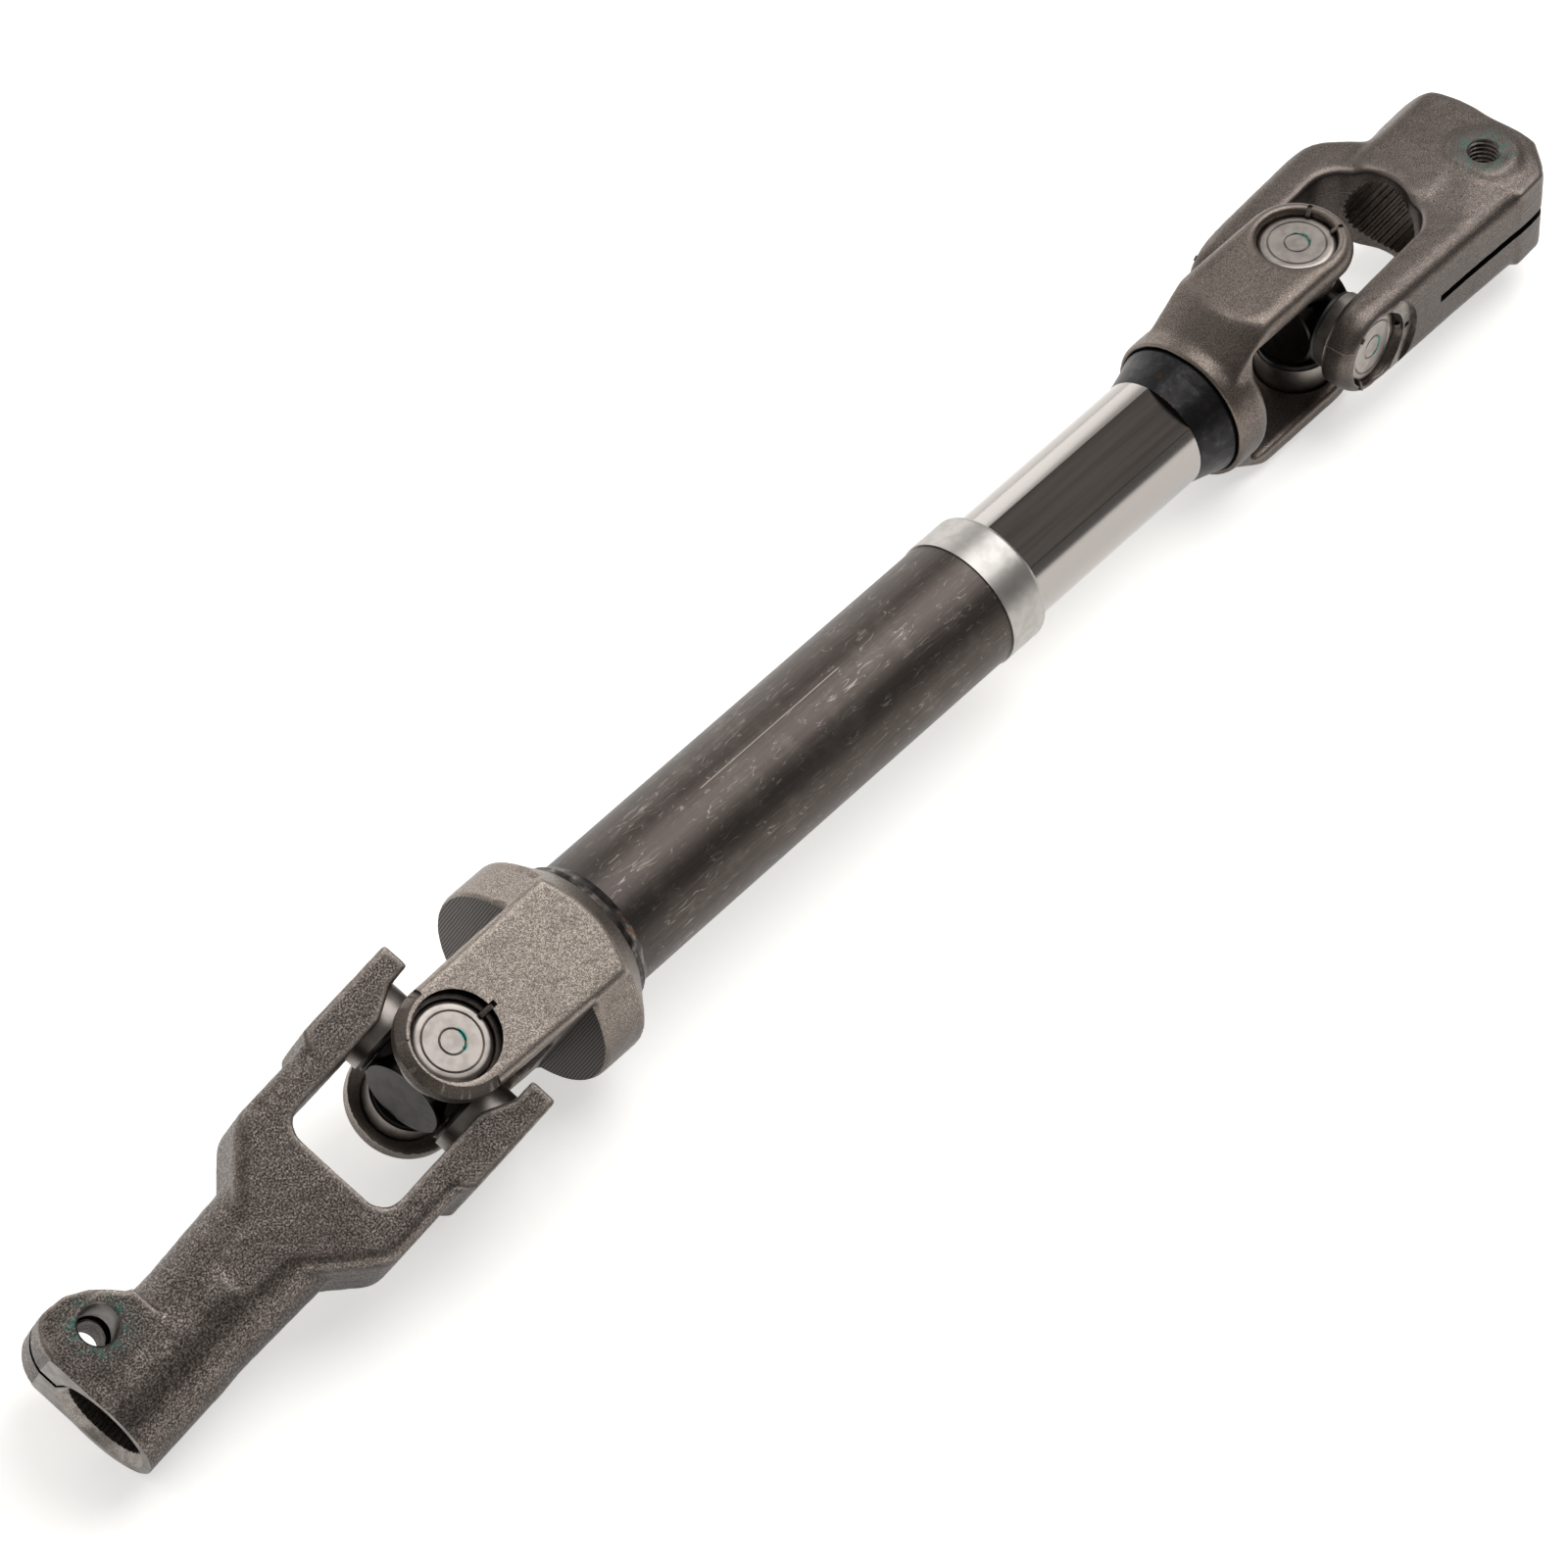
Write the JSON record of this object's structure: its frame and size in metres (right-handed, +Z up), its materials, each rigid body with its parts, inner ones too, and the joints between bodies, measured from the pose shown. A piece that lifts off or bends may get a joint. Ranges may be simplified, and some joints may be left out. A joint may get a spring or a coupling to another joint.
{
  "type": "intermediate steering shaft",
  "caption": "Telescoping steering shaft with a universal joint and a splined clamp yoke at each end, lying as it comes to rest.",
  "frame": {"origin": "under the middle of the whole assembly, on the surface it lies on", "axes": "+X along the shaft toward the upper joint, +Z up"},
  "size_m": [0.4374, 0.0528, 0.05],
  "materials": {
    "forged_steel": "blasted, dark oiled forging",
    "tube_steel": "dark oiled drawn tube, scratched",
    "bright_steel": "ground bright",
    "liner_plastic": "moulded",
    "seal_rubber": "moulded"
  },
  "bodies": {
    "outer_tube": {"tube_yoke": "forged_steel", "outer_tube": "tube_steel", "tube_weld": "tube_steel", "end_ring": "bright_steel", "slide_liner": "liner_plastic", "lower_cup_top": "bright_steel", "lower_needles_top": "bright_steel", "lower_seal_top": "seal_rubber", "lower_cup_bottom": "bright_steel", "lower_needles_bottom": "bright_steel", "lower_seal_bottom": "seal_rubber"},
    "lower_cross": {"lower_cross": "bright_steel"},
    "lower_yoke": {"lower_yoke": "forged_steel", "lower_cup_left": "bright_steel", "lower_needles_left": "bright_steel", "lower_seal_left": "seal_rubber", "lower_cup_right": "bright_steel", "lower_needles_right": "bright_steel", "lower_seal_right": "seal_rubber"},
    "sliding_shaft": {"shaft_yoke": "forged_steel", "inner_shaft": "bright_steel", "shaft_weld": "tube_steel", "upper_cup_top": "bright_steel", "upper_needles_top": "bright_steel", "upper_seal_top": "seal_rubber", "upper_cup_bottom": "bright_steel", "upper_needles_bottom": "bright_steel", "upper_seal_bottom": "seal_rubber"},
    "upper_cross": {"upper_cross": "bright_steel"},
    "upper_yoke": {"upper_yoke": "forged_steel", "upper_cup_left": "bright_steel", "upper_needles_left": "bright_steel", "upper_seal_left": "seal_rubber", "upper_cup_right": "bright_steel", "upper_needles_right": "bright_steel", "upper_seal_right": "seal_rubber"}
  },
  "joints": [
    {"name": "lower_cross_turn", "type": "hinge", "parent": "outer_tube", "child": "lower_cross", "pos_m": [-0.12052, 0.00007, 0.02536], "axis": [0.0105, -0.471, 0.8821], "range_deg": [-25, 14]},
    {"name": "lower_yoke_tilt", "type": "hinge", "parent": "lower_cross", "child": "lower_yoke", "pos_m": [-0.12052, 0.00007, 0.02536], "axis": [-0.0885, 0.8782, 0.47], "range_deg": [-14, 26]},
    {"name": "shaft_slide", "type": "slide", "parent": "outer_tube", "child": "sliding_shaft", "axis": [0.9999, 0, -0.0119], "range_m": [-0.04, 0.02]},
    {"name": "upper_cross_turn", "type": "hinge", "parent": "sliding_shaft", "child": "upper_cross", "pos_m": [0.15277, 0.00007, 0.02211], "axis": [0.0119, 0, 0.9999], "range_deg": [-24, 16]},
    {"name": "upper_yoke_tilt", "type": "hinge", "parent": "upper_cross", "child": "upper_yoke", "pos_m": [0.15277, 0.00007, 0.02211], "axis": [-0.068, 0.9977, 0.0008], "range_deg": [-21, 19]}
  ]
}
